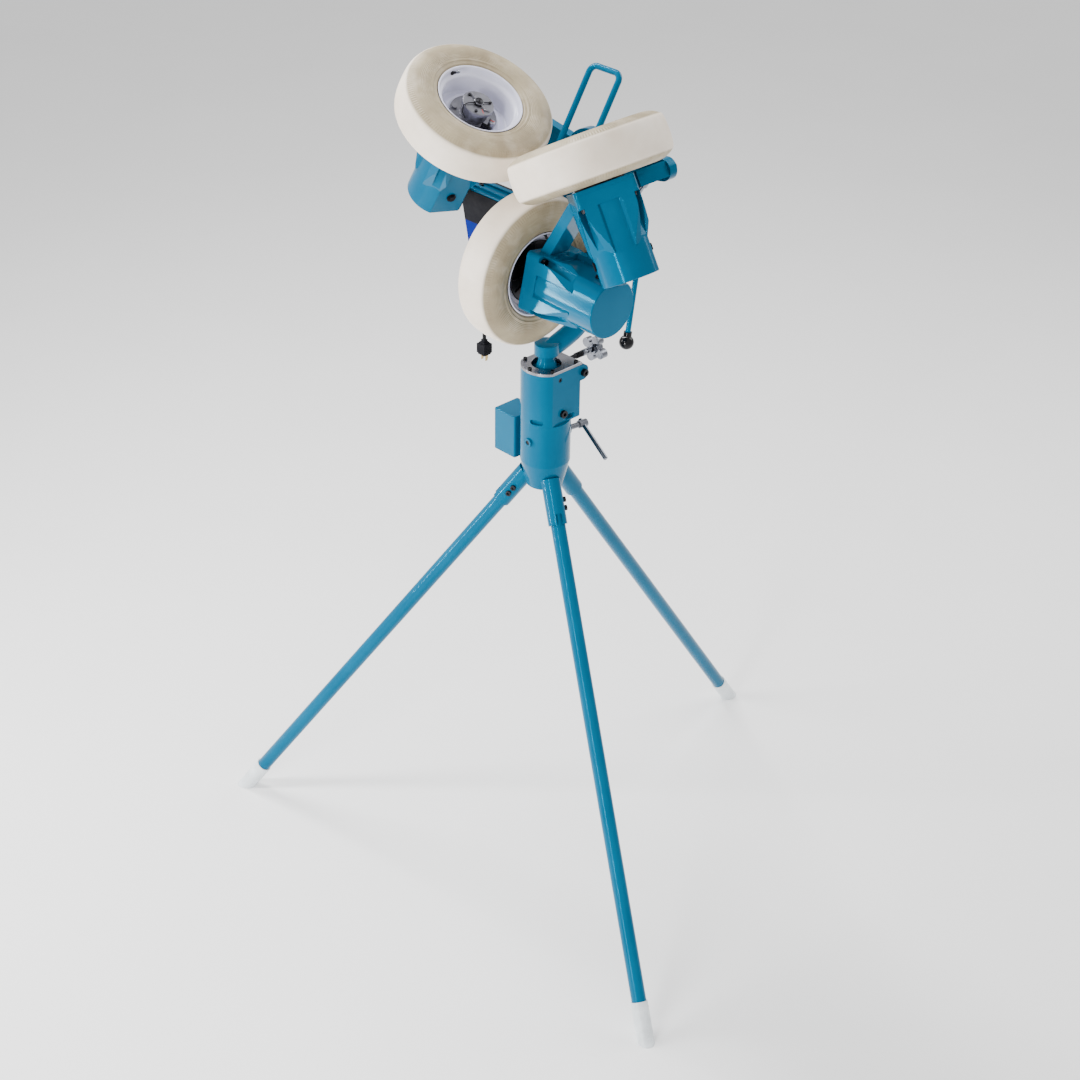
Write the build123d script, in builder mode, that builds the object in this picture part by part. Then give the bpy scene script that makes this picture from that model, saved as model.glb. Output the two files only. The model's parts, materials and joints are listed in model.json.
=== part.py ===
from build123d import *
import os
from math import cos, pi, radians, sin, tan

os.makedirs("parts", exist_ok=True)

# ---------------------------------------------------------------- driving dimensions (mm)
# Where the column's axis stands, so that the footprint's middle is the origin.
COLUMN_X = -24.3
COLUMN_Y = -161.5

# Wheels: three of them round the ball's path, each with its motor on one side.
# Each has its direction from the ball, the motor's side and the casting's turn about the axle.
TYRE_R = 159.0
TYRE_HALF = 48.7
BALL_GAP = 30.0
WHEEL_REACH = TYRE_R + BALL_GAP
HEAD = (-23.5, -29.5, 1630.0)
WHEELS = {"left": (150.0, 1, 195.0), "right": (30.0, -1, -55.0), "lower": (-92.4, 1, 170.0)}

# Rim and hub
BEAD_R = 78.0
LIP_R = 88.0
LIP_OUT = 42.0
LIP_T = 3.0
DISC_OUT = 8.0
DISC_T = 4.0
SHEET = 3.5
HUB_TOP = -28.0
HUB_TOP_R = 33.0
HUB_DRUM_R = 28.0
HUB_FLANGE_R = 49.0
HUB_FLANGE_T = 6.0
HUB_BOLT_RING = 41.0
HUB_SLEEVE_R = 19.0
SHAFT_R = 9.5

# Motor casting
PAD_FROM = 52.0
BRACKET_T = 32.0
FLANGE_FROM = 60.0
FLANGE_TO = 86.0
FLANGE_SIDE = 124.0
FLANGE_CORNER = 9.0
CAN_R = 60.0
CAN_BORE_R = 46.0
CAN_FLAT = 50.0
CAN_TO = 242.0
GUSSET = 95.0
GUSSET_HALF = 27.0
GUSSET_SLOT_HALF = 8.5
CORNERS = (45, 135, 225, 315)
BRUSH_R = 7.0
BRUSH_TURNS = (0, 180)
SCREW_OFFSET = 49.0
SCREW_HEAD_R = 6.5
SCREW_R = 4.0
RUN_FIT = 0.05

# Head frame
SPIDER_FROM = 165.0
SPIDER_TO = 185.0
CHUTE_R = 44.0
CHUTE_BORE_R = 40.5
CHUTE_FROM = 88.0
CHUTE_TO = 250.0

# Ball joint and column
BALL_Z = 1200.0
BALL_R = 38.0
SEAT_R = 42.0
NECK_R = 17.0
NECK_FOOT_R = 24.0
BALL_CUT = 14.0
COLLAR_Z = 1250.0
COLLAR_R = 26.0
COLLAR_H = 24.0
ARM_R = 21.0
ARM_Y = 180.0
COLUMN_R = 54.0
COLUMN_FLAT = 47.0
COLUMN_FOOT_Z = 1103.3
PLATE_Z = 1222.0
PLATE_T = 6.0
PLATE_HOLE_R = 31.5
CLAMP_Z = 1214.0
EAR_Y = 62.0
EAR_Z = 1202.0
EAR_GAP = 30.0
PIN_R = 3.5
CLAMP_R = 5.0
CLAMP_TIP = 37.3
CLAMP_REACH = 140.0
STAR_RING = 21.0
STAR_LOBE_R = 10.5
STAR_T = 15.0
COLUMN_BACK = 57.0
FLOOR_Z = 1136.0
SLOT_Z = 1113.0
SLOT_WIDE = 18.0
SLOT_HIGH = 11.0
SLOT_DEEP = 7.0
SLOT_ANGLES = (-65, -155, 25, 115)
SPINDLE_R = 20.0
GRUB = (-5.0, 1206.0, 5.0, 4.2)
SIDE_SCREW = (4.0, 1125.0)
PLATE_SCREWS = ((0, -48), (-40.5, -22), (40.5, -22), (-40, 46), (40, 46))

# Tripod
HOUSING_TOP_Z = 1103.0
HOUSING_FOOT_Z = 1005.0
HOUSING_R = 53.4
HUB_FOOT_Z = 946.0
BUSH_R = 26.0
BUSH_DEEP = 18.0
LOCK_Z = 1057.0
LOCK_ANGLE = 80.0
LOCK_REACH = 95.5
LOCK_DROP = 27.0
LOCK_R = 6.0
LOCK_BAR_R = 5.0
SLEEVE_R = 20.5
SIDE_WALL = 3.0
LEG_SPLAY = 35.35
LEG_TUBE_R = 15.875
LEG_END_REACH = 701.5
LEG_END_Z = 33.6
LEG_AZIMUTH = {"front": -26.2, "right": 93.8, "left": 213.8}
SLEEVE_FROM = 1050.0
SLEEVE_TO = 1122.0
SOCKET_END = 1132.0
FOOT_R = 18.2
SIDE_BOX = (-122.0, -58.0, 34.0, 991.0, 1088.0)

# Control box
PANEL_AT = (-198.0, 101.0, 1455.6)
PANEL_TILT = 10.0
BOX_WIDE = 206.0
BOX_HIGH = 143.0
BOX_DEEP = 55.0
BOX_WALL = 2.5
DIAL_X = {"left": 66.0, "lower": 0.0, "right": -66.0}
DIAL_Y = 14.0
DIAL_R = 17.0
PANEL_T = 3.0
POT_R = 3.2
SWITCH_X = 0.0
SWITCH_Y = -34.0
BRACKET_SCREWS = (-50.0, 60.0)
TAB_SCREWS = (1545.0, 1562.0)
CORD_R = 4.2
CORD_SAG = (-7.0, 9.0, 0.0)
PLUG_TOP = (-252.0, 58.0, 1171.0)
BLADES = ((-6.35, -3, 1.6, 6.3), (6.35, -3, 1.6, 6.3), (0, 6, 4.6, 4.6))
GLAND_X = 84.0

BASE = (Align.CENTER, Align.CENTER, Align.MIN)


# ---------------------------------------------------------------- places and planes
def spot(x, y, z):
    """A point given from the column's axis, in the machine's own frame."""
    return Vector(COLUMN_X + x, COLUMN_Y + y, z)


def level(z, x=0, y=0):
    """A level plane at height z."""
    return Plane(spot(x, y, z))


def facing_front(y, x=0, z=0):
    """An upright plane that faces the batter: x to the right, y up."""
    return Plane(spot(x, y, z), x_dir=(1, 0, 0), z_dir=(0, -1, 0))


def facing_right(x, y=0, z=0):
    """An upright plane that faces +X: x toward the back, y up."""
    return Plane(spot(x, y, z), x_dir=(0, 1, 0), z_dir=(1, 0, 0))


def head_front(y):
    """A plane square to the ball's path, y behind the wheels' middle."""
    return facing_front(HEAD[1] + y, HEAD[0], HEAD[2])


def out_dir(angle):
    return Vector(cos(radians(angle)), 0, sin(radians(angle)))


def axle_dir(wheel):
    """From the wheel's middle toward its motor."""
    return out_dir(wheel[0] + 90 * wheel[1])


def wheel_centre(wheel):
    return spot(*HEAD) + out_dir(wheel[0]) * WHEEL_REACH


def wheel_axis(wheel):
    return Axis(wheel_centre(wheel), axle_dir(wheel))


def square_to(wheel, reach):
    """Square to the axle, `reach` toward the motor, with x pointing away from the ball."""
    axle = axle_dir(wheel)
    return Plane(wheel_centre(wheel) + axle * reach, x_dir=out_dir(wheel[0]), z_dir=axle)


def through(wheel):
    """Through the axle: x toward the motor, y away from the ball."""
    axle = axle_dir(wheel)
    return Plane(wheel_centre(wheel), x_dir=axle, z_dir=axle.cross(out_dir(wheel[0])))


def motor_plane(wheel, reach):
    """Like square_to, but turned about the axle with the motor's casting."""
    base = square_to(wheel, reach)
    turn = radians(wheel[2])
    side = base.x_dir * cos(turn) + base.y_dir * sin(turn)
    return Plane(base.origin, x_dir=side, z_dir=base.z_dir)


def turned(wheel, angle):
    """Through the axle: x toward the motor, y at an angle from the casting's long flat."""
    axle = axle_dir(wheel)
    base = motor_plane(wheel, 0)
    side = base.x_dir * cos(radians(angle)) + base.y_dir * sin(radians(angle))
    return Plane(wheel_centre(wheel), x_dir=axle, z_dir=axle.cross(side))


def flange_reach(wheel):
    """How far the turned square flange reaches from the axle, toward the back."""
    turn = radians(wheel[2])
    return (FLANGE_SIDE / 2 - FLANGE_CORNER) * (abs(cos(turn)) + abs(sin(turn))) + FLANGE_CORNER


def leg_dir(azimuth):
    """Up the leg, from its foot to the hub."""
    lean = sin(radians(LEG_SPLAY))
    rise = cos(radians(LEG_SPLAY))
    return Vector(-lean * cos(radians(azimuth)), -lean * sin(radians(azimuth)), rise)


def leg_plane(azimuth, along):
    """Square to a leg's tube, `along` mm up from the tube's visible end, x pointing up and out."""
    turn = radians(azimuth)
    end = spot(LEG_END_REACH * cos(turn), LEG_END_REACH * sin(turn), LEG_END_Z)
    rise = leg_dir(azimuth)
    side = Vector(-sin(turn), cos(turn), 0)
    return Plane(end + rise * along, x_dir=side.cross(rise), z_dir=rise)


def panel_plane(off=0.0):
    """The control panel's face, seen from behind the machine: x to the viewer's right, y up."""
    tilt = radians(PANEL_TILT)
    normal = Vector(0, cos(tilt), sin(tilt))
    return Plane(spot(*PANEL_AT) + normal * off, x_dir=(-1, 0, 0), z_dir=normal)


def rod(plane, radius, length):
    """Adds a round bar that starts on the plane and runs along its normal."""
    with Locations(plane):
        Cylinder(radius, length, align=BASE)


def drill(plane, radius, length):
    """Cuts a round hole that starts on the plane and runs along its normal."""
    with Locations(plane):
        Cylinder(radius, length, align=BASE, mode=Mode.SUBTRACT)


def cap_screw(plane, head_r, head_h, shank_r, shank):
    """A socket-head cap screw whose head stands on the plane and whose shank runs below it."""
    rod(plane, head_r, head_h)
    rod(plane.offset(-shank), shank_r, shank)
    with BuildSketch(plane.offset(head_h * 0.4)) as socket:
        RegularPolygon(head_r * 0.5, 6)
    extrude(socket.sketch, amount=head_h, mode=Mode.SUBTRACT)


def save(piece, name):
    """Labels a finished piece and writes it."""
    piece.label = name
    export_step(piece, f"parts/{name}.step")


# ---------------------------------------------------------------- wheels
def make_tyre(wheel, name):
    """A smooth pneumatic tyre: a hollow carcass with two beads."""
    wall = 9.0
    outer = [(TYRE_HALF - 3.6, 103), (TYRE_HALF, 121), (43, 141.5), (29, 154)]
    inner = [(TYRE_HALF - 12.5, 104), (TYRE_HALF - wall, 121), (35, 135.5), (24, 145)]
    with BuildPart() as tyre:
        with BuildSketch(through(wheel)):
            with BuildLine():
                right = [(38, 91)] + outer
                Spline([*right, (0, TYRE_R), *[(-x, r) for x, r in reversed(right)]])
                Polyline((-38, 91), (-38, BEAD_R + 0.2), (-29, BEAD_R + 0.2), (-29, 92))
                hollow = [(29, 92)] + inner
                Spline([*[(-x, r) for x, r in hollow], (0, TYRE_R - 10), *reversed(hollow)])
                Polyline((29, 92), (29, BEAD_R + 0.2), (38, BEAD_R + 0.2), (38, 91))
            make_face()
        revolve(axis=wheel_axis(wheel))
    save(tyre.part, name)


def make_rim(wheel, name):
    """A pressed-steel rim: a deep barrel, two lips and a disc near the motor's side."""
    barrel = BEAD_R - SHEET
    back = DISC_OUT + DISC_T
    with BuildPart() as rim:
        with BuildSketch(through(wheel)):
            with Locations((0, BEAD_R - SHEET / 2)):
                Rectangle(2 * LIP_OUT, SHEET)
            for side in (-1, 1):
                with Locations((side * (LIP_OUT - LIP_T / 2), (barrel + LIP_R) / 2)):
                    RectangleRounded(LIP_T, LIP_R - barrel, LIP_T * 0.45)
            with BuildLine():
                outer = [(DISC_OUT, HUB_SLEEVE_R + 0.1), (DISC_OUT, 58), (DISC_OUT + 7, 68)]
                inner = [(back + 7, 66.5), (back, 56.5), (back, HUB_SLEEVE_R + 0.1)]
                rise = [(DISC_OUT + 7, barrel + 1), (back + 7, barrel + 1)]
                Polyline(*outer, *rise, *inner, close=True)
            make_face()
        revolve(axis=wheel_axis(wheel))
        with Locations(square_to(wheel, DISC_OUT - 1)):
            with PolarLocations(HUB_BOLT_RING, 4, 45):
                Cylinder(4.2, DISC_T + 4, align=BASE, mode=Mode.SUBTRACT)
    save(rim.part, name)


def make_hub_of(wheel, name):
    """A cast hub: a drum between its top disc and the flange bolted to the rim, and a sleeve on the shaft."""
    flange = DISC_OUT - HUB_FLANGE_T
    with BuildPart() as hub:
        rod(square_to(wheel, HUB_TOP), HUB_TOP_R, 7)
        rod(square_to(wheel, HUB_TOP), HUB_DRUM_R, flange - HUB_TOP)
        rod(square_to(wheel, flange), HUB_FLANGE_R, HUB_FLANGE_T)
        rod(square_to(wheel, DISC_OUT), HUB_SLEEVE_R, 26)
        chamfer(hub.faces().sort_by(wheel_axis(wheel))[0].edges(), 1.2)
        with Locations(square_to(wheel, flange)):
            with PolarLocations(HUB_BOLT_RING, 4, 45):
                Cylinder(6, 4, align=(Align.CENTER, Align.CENTER, Align.MAX))
        with Locations(square_to(wheel, DISC_OUT)):
            with PolarLocations(HUB_BOLT_RING, 4, 45):
                Cylinder(4.1, DISC_T, align=BASE)
        drill(square_to(wheel, HUB_TOP - 4), SHAFT_R + 0.02, 70)
    save(hub.part, name)


def make_rotor(wheel, name):
    """The motor's shaft with its armature, its commutator and the wire clip that keeps the hub on."""
    with BuildPart() as rotor:
        rod(square_to(wheel, -34), SHAFT_R, 262)
        rod(square_to(wheel, 110), 38, 64)
        rod(square_to(wheel, 186), 22, 20)
        clip = square_to(wheel, -30.5)
        with BuildLine(clip) as wire:
            FilletPolyline((-27, 9), (-20, 0), (27, 0), radius=5)
        with BuildSketch(Plane(wire.line @ 0, z_dir=wire.line % 0)):
            Circle(1.5)
        sweep(path=wire.line)
    save(rotor.part, name)


# ---------------------------------------------------------------- motors
def gussets_of(wheel):
    """A casting's four corner gussets: each a tapering block inside the flange's outline."""
    slope = [(FLANGE_TO - 4, 82), (FLANGE_TO + 12, 81), (FLANGE_TO + 42, 74), (FLANGE_TO + GUSSET, 57)]
    with BuildPart() as gussets:
        for corner in CORNERS:
            with BuildSketch(turned(wheel, corner)):
                with BuildLine():
                    Polyline(*slope, (FLANGE_TO + GUSSET, 50), (FLANGE_TO - 4, 50), close=True)
                make_face()
            extrude(amount=GUSSET_HALF, both=True)
        with BuildSketch(motor_plane(wheel, FLANGE_FROM)):
            RectangleRounded(FLANGE_SIDE, FLANGE_SIDE, FLANGE_CORNER)
        extrude(amount=CAN_TO - FLANGE_FROM, mode=Mode.INTERSECT)
        for corner in CORNERS:
            with BuildSketch(turned(wheel, corner)):
                with Locations((FLANGE_TO + GUSSET / 2 + 5, CAN_R + 21)):
                    Rectangle(GUSSET + 10, 40)
            extrude(amount=GUSSET_SLOT_HALF, both=True, mode=Mode.SUBTRACT)
    return gussets.part


def make_housing(wheel, name):
    """A motor casting: square flange, a gusset at each corner, and a can with one long flat."""
    gussets = gussets_of(wheel)
    with BuildPart() as housing:
        with BuildSketch(motor_plane(wheel, FLANGE_FROM)):
            RectangleRounded(FLANGE_SIDE, FLANGE_SIDE, FLANGE_CORNER)
        extrude(amount=FLANGE_TO - FLANGE_FROM)
        rod(square_to(wheel, FLANGE_FROM), CAN_R, CAN_TO - FLANGE_FROM)
        add(gussets)
        with BuildSketch(turned(wheel, 0)):
            with Locations(((FLANGE_TO + 14 + CAN_TO + 1) / 2, CAN_FLAT + 25)):
                Rectangle(CAN_TO + 1 - FLANGE_TO - 14, 50)
        extrude(amount=34, both=True, mode=Mode.SUBTRACT)
        chamfer(housing.faces().sort_by(wheel_axis(wheel))[-1].edges(), 1.5)
        with BuildSketch(through(wheel)):
            with Locations(((FLANGE_FROM + CAN_TO - 5) / 2, CAN_BORE_R / 2)):
                Rectangle(CAN_TO - 5 - FLANGE_FROM, CAN_BORE_R)
        revolve(axis=wheel_axis(wheel), mode=Mode.SUBTRACT)
        with BuildSketch(square_to(wheel, 219)):
            Circle(23)
            Circle(16.02, mode=Mode.SUBTRACT)
        extrude(amount=CAN_TO - 4 - 219)
        for seat in screw_seats(wheel, FLANGE_FROM):
            drill(seat, SCREW_R + 0.3, 26)
        for turn in BRUSH_TURNS:
            drill(brush_plane(wheel, turn, 40), BRUSH_R + 0.02, 30)
    save(housing.part, name)


def screw_seats(wheel, reach):
    """The four flange screws' places at one reach along the axle."""
    face = motor_plane(wheel, reach)
    ends = (-SCREW_OFFSET, SCREW_OFFSET)
    return [Plane(face.from_local_coords((x, y, 0)), z_dir=face.z_dir) for x in ends for y in ends]


def brush_plane(wheel, turn, radius):
    """Square to a brush holder, at one radius from the axle."""
    base = turned(wheel, turn)
    return Plane(base.from_local_coords((196, radius, 0)), z_dir=base.y_dir)


def make_motor_internals():
    """End bells, bearings, magnets, brushes and the frame's screws."""
    with BuildPart() as bells:
        for wheel in WHEELS.values():
            with BuildSketch(through(wheel)):
                with BuildLine():
                    Polyline((40, 12), (40, 46), (44, 50), (59.8, 50), (59.8, 45.9), (66, 45.9), (66, 40))
                    Polyline((66, 40), (58, 38), (58, 20.02), (44, 20.02), (44, 12), (40, 12))
                make_face()
            revolve(axis=wheel_axis(wheel))
    save(bells.part, "motor_end_bells")

    with BuildPart() as bearings:
        for wheel in WHEELS.values():
            for reach, outer in ((44.2, 20.0), (221.0, 16.0)):
                with BuildSketch(square_to(wheel, reach)):
                    Circle(outer)
                    Circle(SHAFT_R + RUN_FIT, mode=Mode.SUBTRACT)
                extrude(amount=11)
    save(bearings.part, "motor_bearings")

    with BuildPart() as magnets:
        for wheel in WHEELS.values():
            with BuildSketch(square_to(wheel, 104)):
                Circle(CAN_BORE_R - 0.02)
                Circle(39, mode=Mode.SUBTRACT)
                Rectangle(26, 120, mode=Mode.SUBTRACT)
            extrude(amount=76)
    save(magnets.part, "motor_magnets")

    with BuildPart() as brushes:
        for wheel in WHEELS.values():
            for turn in BRUSH_TURNS:
                rod(brush_plane(wheel, turn, 22.3), 4, 14)
                rod(brush_plane(wheel, turn, 36), BRUSH_R, 20)
                rod(brush_plane(wheel, turn, (CAN_FLAT if turn == 0 else CAN_R) + 0.1), 9.5, 3)
    save(brushes.part, "motor_brushes")

    with BuildPart() as screws:
        for wheel in WHEELS.values():
            for seat in screw_seats(wheel, FLANGE_TO):
                cap_screw(seat, SCREW_HEAD_R, 8, SCREW_R, FLANGE_TO - PAD_FROM)
            for x in (-9, 9):
                cap_screw(leg_on_spider(wheel, x), SCREW_HEAD_R, 8, SCREW_R, SPIDER_TO - SPIDER_FROM + 18)
        for x in BRACKET_SCREWS:
            cap_screw(box_top(5, x, 32), 5, 4, 3, 13)
        for z in TAB_SCREWS:
            cap_screw(tab_seat(z), 5, 4, 3, 18)
    save(screws.part, "head_screws")


# ---------------------------------------------------------------- head frame
def bracket_middle(wheel):
    """How far up the axle the middle of a motor bracket's leg lies."""
    return PAD_FROM + BRACKET_T / 2


def leg_on_spider(wheel, x):
    """The spider's back face over a bracket's leg, x mm along the outward direction."""
    middle = wheel_centre(wheel) + axle_dir(wheel) * bracket_middle(wheel) + out_dir(wheel[0]) * x
    return Plane(middle + Vector(0, SPIDER_TO, 0), z_dir=(0, 1, 0))


def make_brackets():
    """Motor brackets: the pad that each flange is screwed to, and the leg back to the spider."""
    with BuildPart() as brackets:
        for wheel in WHEELS.values():
            hand = wheel[1]
            leg_from = flange_reach(wheel) + 0.5
            with BuildSketch(motor_plane(wheel, PAD_FROM)):
                RectangleRounded(FLANGE_SIDE, FLANGE_SIDE, FLANGE_CORNER)
            extrude(amount=FLANGE_FROM - PAD_FROM)
            with BuildSketch(square_to(wheel, PAD_FROM)):
                with Locations((0, hand * (leg_from + 8))):
                    Rectangle(52, 32)
            extrude(amount=FLANGE_FROM - PAD_FROM)
            with BuildSketch(square_to(wheel, PAD_FROM)):
                with Locations((0, hand * (leg_from + SPIDER_FROM) / 2)):
                    Rectangle(34, SPIDER_FROM - leg_from)
            extrude(amount=BRACKET_T)
            drill(square_to(wheel, PAD_FROM - 1), 52, FLANGE_FROM - PAD_FROM + 2)
            for seat in screw_seats(wheel, PAD_FROM - 1):
                drill(seat, SCREW_R + 0.02, FLANGE_FROM - PAD_FROM + 2)
            for x in (-9, 9):
                start = leg_on_spider(wheel, x).offset(SPIDER_FROM - SPIDER_TO - 18.5)
                drill(start, SCREW_R + 0.02, 20)
    save(brackets.part, "motor_brackets")


def make_spider():
    """The rear frame: a ring round the feed tube, and an arm to each bracket and to the control box."""
    with BuildPart() as spider:
        with BuildSketch(head_front(SPIDER_TO)):
            Circle(64)
            for wheel in WHEELS.values():
                middle = out_dir(wheel[0]) * WHEEL_REACH + axle_dir(wheel) * bracket_middle(wheel)
                with BuildLine():
                    spine = Line((0, 0), (middle.X, middle.Z))
                SlotCenterPoint(spine @ 0.5, spine @ 1, 46)
            SlotCenterPoint((-40, -48), (-78, -94), 40)
            Polygon((0, 0), (-130, 12), (-85, -100), align=None)
            with Locations((-HEAD[0], -122)):
                Rectangle(46, 128)
            Circle(CHUTE_R + 0.1, mode=Mode.SUBTRACT)
        extrude(amount=SPIDER_TO - SPIDER_FROM)
        for wheel in WHEELS.values():
            for x in (-9, 9):
                drill(leg_on_spider(wheel, x).offset(SPIDER_FROM - SPIDER_TO - 1), SCREW_R + 0.3, 24)
        for z in TAB_SCREWS:
            drill(tab_seat(z).offset(-19), 3.02, 20)
    save(spider.part, "rear_spider")


def make_strut():
    """The diagonal web between the lower motor's flange and the right motor's flange."""
    corners = []
    for name, reaches in (("right", (FLANGE_FROM, FLANGE_TO)), ("lower", (FLANGE_TO, FLANGE_FROM))):
        wheel = WHEELS[name]
        side = wheel_centre(wheel) - out_dir(wheel[0]) * (FLANGE_SIDE / 2)
        corners += [side + axle_dir(wheel) * reach for reach in reaches]
    front = facing_front(-54)
    with BuildPart() as strut:
        with BuildSketch(front):
            with BuildLine():
                Polyline(*[(c.X - COLUMN_X, c.Z) for c in corners], close=True)
            make_face()
        extrude(amount=-52)
        for name in ("right", "lower"):
            with BuildSketch(motor_plane(WHEELS[name], PAD_FROM)):
                RectangleRounded(FLANGE_SIDE, FLANGE_SIDE, FLANGE_CORNER)
            extrude(amount=CAN_TO, mode=Mode.SUBTRACT)
    save(strut.part, "cross_web")


def make_brace():
    """The bright brace between the legs of the right and lower brackets."""
    ends = []
    for name in ("right", "lower"):
        wheel = WHEELS[name]
        ends.append(wheel_centre(wheel) + axle_dir(wheel) * bracket_middle(wheel) + Vector(0, 129.5, 0))
    run = (ends[1] - ends[0]).normalized()
    with BuildPart() as brace:
        rod(Plane(ends[0] + run * 17.2, z_dir=run), 6, (ends[1] - ends[0]).length - 34.4)
        for end, way in ((ends[0], run), (ends[1], run * -1)):
            rod(Plane(end + way * 17.2, z_dir=way), 9.5, 12)
        for name in ("right", "lower"):
            wheel = WHEELS[name]
            with Locations(square_to(wheel, bracket_middle(wheel))):
                with Locations((0, wheel[1] * 129.5, 0)):
                    Box(34.04, 26, 32.04, mode=Mode.SUBTRACT)
    save(brace.part, "brace_rod")


def make_chute():
    """The ball's feed tube, with a rolled lip at its mouth."""
    with BuildPart() as chute:
        with BuildSketch(head_front(CHUTE_TO)):
            Circle(CHUTE_R)
        extrude(amount=CHUTE_TO - CHUTE_FROM)
        with BuildSketch(head_front(CHUTE_TO)):
            Circle(CHUTE_R + 6)
        extrude(amount=8)
        fillet(chute.edges().filter_by(GeomType.CIRCLE).sort_by(Axis.Y)[-1], 5)
        with BuildSketch(head_front(CHUTE_TO)):
            Circle(CHUTE_BORE_R)
        extrude(amount=CHUTE_TO - CHUTE_FROM, mode=Mode.SUBTRACT)
        fillet(chute.edges().filter_by(GeomType.CIRCLE).sort_by(Axis.Y)[-1], 2)
    save(chute.part, "feed_chute")


def make_handle():
    """The carrying handle: one bent rod welded to both sides of the feed tube."""
    half = 40.5
    foot_y, foot_z = 82.0, 1655.0
    top_y, top_z = 178.0, 1808.0
    points = [(HEAD[0] - half, foot_y, foot_z), (HEAD[0] - half, top_y, top_z)]
    points += [(HEAD[0] + half, top_y, top_z), (HEAD[0] + half, foot_y, foot_z)]
    with BuildPart() as handle:
        with BuildLine() as path:
            FilletPolyline(*[spot(*p) for p in points], radius=16)
        with BuildSketch(Plane(path.line @ 0, z_dir=path.line % 0)):
            Circle(6.5)
        sweep(path=path.line)
        with BuildSketch(head_front(CHUTE_TO)):
            Circle(CHUTE_R)
        extrude(amount=CHUTE_TO - CHUTE_FROM + 20, mode=Mode.SUBTRACT)
    save(handle.part, "carry_handle")


def make_gooseneck():
    """The arm that carries the head: a collar, then a tube that sweeps back under the lower wheel."""
    points = [(0, -6, COLLAR_Z), (0, 92, 1281), (0, ARM_Y, 1394), (0, ARM_Y, 1556)]
    back = HEAD[1] + SPIDER_TO
    with BuildPart() as arm:
        with BuildLine() as path:
            FilletPolyline(*[spot(*p) for p in points], radius=110)
        with BuildSketch(Plane(path.line @ 0, z_dir=path.line % 0)):
            Circle(ARM_R)
        sweep(path=path.line)
        rod(level(COLLAR_Z - 2), COLLAR_R, COLLAR_H + 2)
        with BuildSketch(level(1450)):
            with Locations((0, (back + ARM_Y) / 2)):
                Rectangle(38, ARM_Y - back)
        extrude(amount=106)
        drill(level(COLLAR_Z - 50), 66, 50)
    save(arm.part, "gooseneck")

    with BuildPart() as stud:
        with Locations(spot(0, 0, BALL_Z)):
            Sphere(BALL_R)
        drill(level(BALL_Z + BALL_CUT), BALL_R, BALL_R)
        with Locations(level(BALL_Z + BALL_CUT)):
            Cone(NECK_FOOT_R, NECK_R, 22, align=BASE)
        rod(level(BALL_Z), NECK_R, COLLAR_Z - BALL_Z)
        drill(level(BALL_Z - BALL_R - 1), 8, 40)
    save(stud.part, "ball_stud")


def make_aiming_handle():
    """The rod and ball knob that the operator aims the head with."""
    points = [(30, 209, 1228), (30, 232, 1380), (30, 206, 1452), (30, 156, 1470)]
    with BuildPart() as bar:
        with BuildLine() as path:
            FilletPolyline(*[spot(*p) for p in points], radius=[60, 22])
        with BuildSketch(Plane(path.line @ 0, z_dir=path.line % 0)):
            Circle(6)
        sweep(path=path.line)
        start = path.line @ 0
        split(bisect_by=Plane(spot(0, HEAD[1] + SPIDER_TO, 0), z_dir=(0, 1, 0)), keep=Keep.TOP)
    save(bar.part, "aiming_rod")

    with BuildPart() as knob:
        down = Vector(0, -23, -152).normalized()
        with Locations(Location(start + down * 12)):
            Sphere(16)
        rod(Plane(start + down * 2, z_dir=down * -1), 9, 14)
        drill(Plane(start, z_dir=down * -1), 6.02, 30)
    save(knob.part, "aiming_knob")
    return start


# ---------------------------------------------------------------- column
def column_outline():
    """The column's section: round in front, square behind, with flat sides."""
    Circle(COLUMN_R)
    with Locations((0, COLUMN_BACK / 2)):
        Rectangle(2 * COLUMN_R, COLUMN_BACK)
    Rectangle(2 * COLUMN_FLAT, 4 * COLUMN_R, mode=Mode.INTERSECT)


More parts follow.
